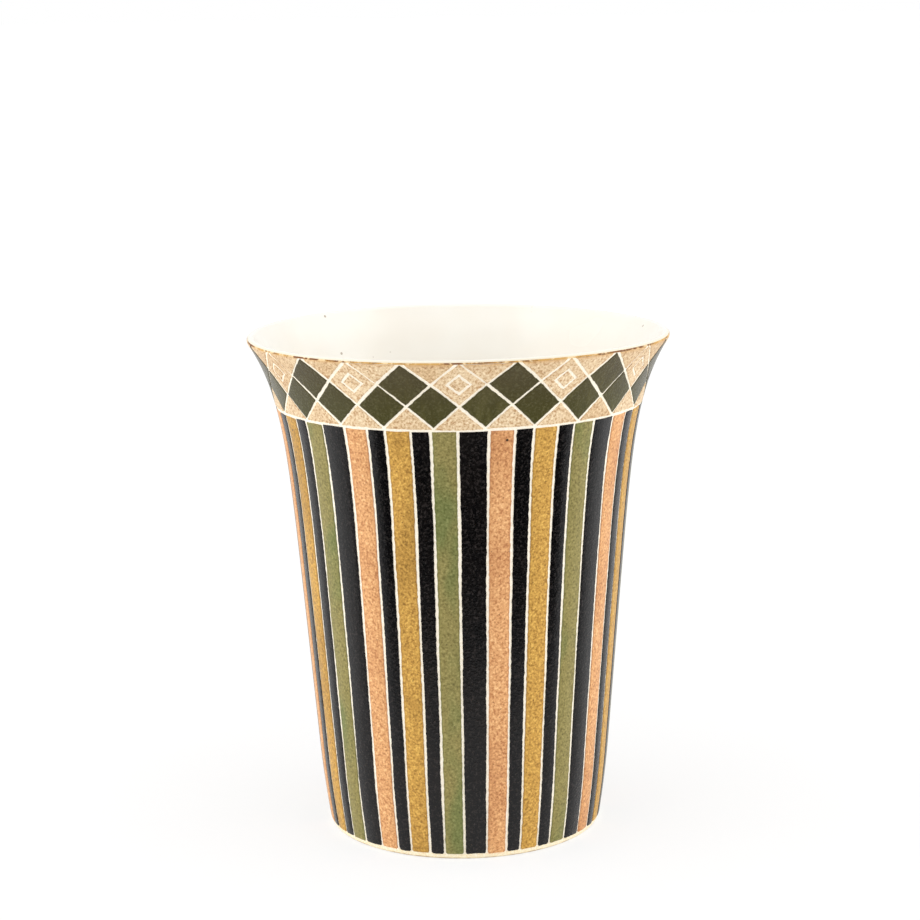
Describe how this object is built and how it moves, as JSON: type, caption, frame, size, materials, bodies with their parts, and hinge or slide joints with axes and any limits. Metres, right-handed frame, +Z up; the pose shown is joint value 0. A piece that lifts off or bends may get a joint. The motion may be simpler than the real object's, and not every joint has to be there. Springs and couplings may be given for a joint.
{
  "type": "ceramic beaker cup",
  "caption": "Handleless ceramic beaker with a tapered wall, flared thin lip, pale glazed inside and an outside of carved slip stripes under a lozenge border; stands on a turned foot.",
  "frame": {"origin": "centre of the foot's resting face, on the cup's axis", "axes": "+Z up along the cup's axis, from the foot to the lip; -Y towards the viewer"},
  "size_m": [0.09, 0.09, 0.108],
  "materials": {
    "pale_clay": "unglazed pale stoneware, fine sandy grain",
    "ivory_glaze": "ivory glaze, soft gloss, a few specks",
    "iron_line": "iron brown, matt, broken",
    "sandy_slip": "sandy buff slip, matt, brown specks",
    "olive_slip": "dark olive slip, satin",
    "black_slip": "black slip, satin, fine grain",
    "green_slip": "olive to leaf green slip, satin, mottled",
    "ochre_slip": "ochre slip, satin, mottled",
    "terracotta_slip": "pale terracotta slip, satin, mottled"
  },
  "bodies": {
    "root": {"clay_body": "pale_clay", "clay_rim": "pale_clay", "liner_glaze": "ivory_glaze", "lip_line": "iron_line", "border_ground": "sandy_slip", "border_lozenges": "olive_slip", "black_stripes": "black_slip", "green_stripes": "green_slip", "ochre_stripes": "ochre_slip", "terracotta_stripes": "terracotta_slip"}
  },
  "joints": []
}
